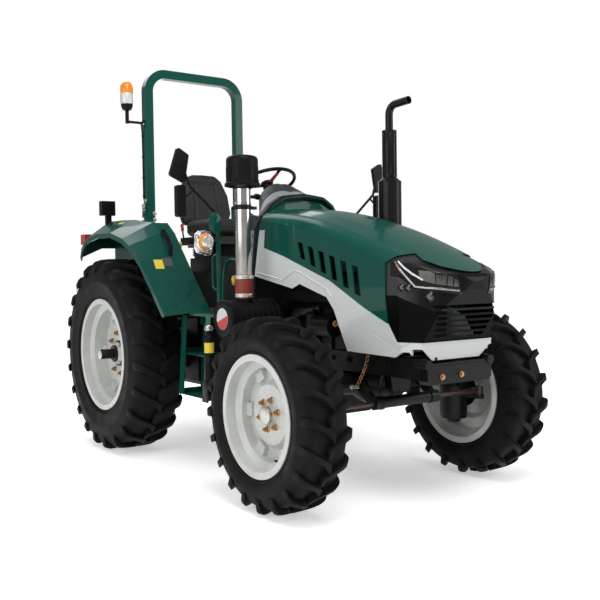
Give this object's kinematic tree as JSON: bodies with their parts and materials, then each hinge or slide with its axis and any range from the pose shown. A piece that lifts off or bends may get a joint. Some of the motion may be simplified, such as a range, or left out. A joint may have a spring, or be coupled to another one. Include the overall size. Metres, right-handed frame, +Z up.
{
  "type": "farm tractor",
  "caption": "Open-station farm tractor with steered front wheels, folding roll bar, opening hood and rear linkage.",
  "frame": {"origin": "on the ground below the middle of the bounding box", "axes": "+X towards the front of the tractor, +Y to its left, +Z up"},
  "size_m": [3.8939, 1.785, 2.8604],
  "materials": {
    "amber_lens": "gloss",
    "black_paint": "satin",
    "black_plastic": "matte",
    "cast_black": "satin",
    "dash_plastic": "matte",
    "green_paint": "gloss",
    "lamp_lens": "gloss",
    "pale_paint": "gloss",
    "red_lens": "gloss",
    "rim_paint": "gloss",
    "rod_chrome": "polished",
    "seat_vinyl": "matte",
    "steel": "brushed",
    "tyre": "matte"
  },
  "bodies": {
    "chassis": {"engine": "cast_black", "transmission": "cast_black", "front_support": "cast_black", "front_axle": "cast_black", "radiator": "black_paint", "steering_cylinder": "steel", "dash_cowl": "dash_plastic", "steering_column": "black_plastic", "platform": "green_paint", "fenders": "green_paint", "seat_deck": "black_paint", "seat_base": "black_paint", "seat_cushion": "seat_vinyl", "seat_back": "seat_vinyl", "steps": "green_paint", "fuel_tanks": "black_plastic", "air_cleaner": "black_plastic", "intake_stack": "steel", "precleaner": "black_plastic", "exhaust": "black_paint", "rops_base": "green_paint", "work_lamps": "black_plastic", "tail_lamps": "red_lens", "lamp_posts": "green_paint", "mirrors": "black_plastic", "grab_handles": "black_paint", "cowl_panel": "green_paint", "turn_lamps": "amber_lens", "link_pins": "steel", "drawbar": "cast_black"},
    "hood": {"hood_shell": "green_paint", "hood_skirt": "pale_paint", "hood_mask": "black_plastic", "headlamps": "lamp_lens"},
    "roll_bar": {"rops_hoop": "green_paint", "beacon": "amber_lens"},
    "knuckle_right": {"knuckle_right": "cast_black"},
    "knuckle_left": {"knuckle_left": "cast_black"},
    "wheel_front_right": {"rim_front_right": "rim_paint", "tyre_front_right": "tyre"},
    "wheel_front_left": {"rim_front_left": "rim_paint", "tyre_front_left": "tyre"},
    "wheel_rear_right": {"rim_rear_right": "rim_paint", "tyre_rear_right": "tyre"},
    "wheel_rear_left": {"rim_rear_left": "rim_paint", "tyre_rear_left": "tyre"},
    "tie_rod": {"tie_rod": "rod_chrome"},
    "steering_wheel": {"steering_wheel": "black_plastic"},
    "lower_links": {"lower_link_right": "cast_black", "lower_link_left": "cast_black"},
    "lift_arms": {"lift_arms": "cast_black"},
    "lift_rods": {"lift_rods": "cast_black"},
    "top_link": {"top_link": "cast_black"}
  },
  "joints": [
    {"name": "hood_lid", "type": "hinge", "parent": "chassis", "child": "hood", "pos_m": [0.478, 0, 1.65], "axis": [0, -1, 0], "range_deg": [0, 50]},
    {"name": "roll_bar_fold", "type": "hinge", "parent": "chassis", "child": "roll_bar", "pos_m": [-1.109, 0, 1.811], "axis": [0, -1, 0], "range_deg": [0, 90]},
    {"name": "kingpin_right", "type": "hinge", "parent": "chassis", "child": "knuckle_right", "pos_m": [1.18, -0.6, 0.6], "axis": [0, 0, 1], "range_deg": [-35, 35]},
    {"name": "kingpin_left", "type": "hinge", "parent": "chassis", "child": "knuckle_left", "pos_m": [1.18, 0.6, 0.6], "axis": [0, 0, 1], "range_deg": [-35, 35]},
    {"name": "spin_front_right", "type": "hinge", "parent": "knuckle_right", "child": "wheel_front_right", "pos_m": [1.18, -0.75, 0.526], "axis": [0, 1, 0], "continuous": true},
    {"name": "spin_front_left", "type": "hinge", "parent": "knuckle_left", "child": "wheel_front_left", "pos_m": [1.18, 0.75, 0.526], "axis": [0, 1, 0], "continuous": true},
    {"name": "spin_rear_right", "type": "hinge", "parent": "chassis", "child": "wheel_rear_right", "pos_m": [-0.94, -0.7, 0.7], "axis": [0, 1, 0], "continuous": true},
    {"name": "spin_rear_left", "type": "hinge", "parent": "chassis", "child": "wheel_rear_left", "pos_m": [-0.94, 0.7, 0.7], "axis": [0, 1, 0], "continuous": true},
    {"name": "tie_rod_shift", "type": "slide", "parent": "chassis", "child": "tie_rod", "axis": [0, 1, 0], "range_m": [-0.126, 0.126]},
    {"name": "steering_wheel_turn", "type": "hinge", "parent": "chassis", "child": "steering_wheel", "pos_m": [-0.01, 0, 1.905], "axis": [-0.4067, 0, 0.9135], "range_deg": [-490, 490]},
    {"name": "lower_links_raise", "type": "hinge", "parent": "chassis", "child": "lower_links", "pos_m": [-1.07, 0, 0.52], "axis": [0, 1, 0], "range_deg": [-12, 30]},
    {"name": "lift_arms_raise", "type": "hinge", "parent": "chassis", "child": "lift_arms", "pos_m": [-1.13, 0, 1.02], "axis": [0, 1, 0], "range_deg": [-16, 40]},
    {"name": "lift_rods_swing", "type": "hinge", "parent": "lift_arms", "child": "lift_rods", "pos_m": [-1.43, 0, 1.02], "axis": [0, 1, 0], "range_deg": [-40, 16]},
    {"name": "top_link_swing", "type": "hinge", "parent": "chassis", "child": "top_link", "pos_m": [-1.298, 0, 0.905], "axis": [0, 1, 0], "range_deg": [-45, 25]}
  ],
  "couplings": [
    {"joint": "kingpin_left", "follows": "kingpin_right", "ratio": 1},
    {"joint": "tie_rod_shift", "follows": "kingpin_right", "m_per_rad": 0.205},
    {"joint": "steering_wheel_turn", "follows": "kingpin_right", "ratio": 14},
    {"joint": "lift_arms_raise", "follows": "lower_links_raise", "ratio": 1.3333},
    {"joint": "lift_rods_swing", "follows": "lower_links_raise", "ratio": -1.3333}
  ]
}
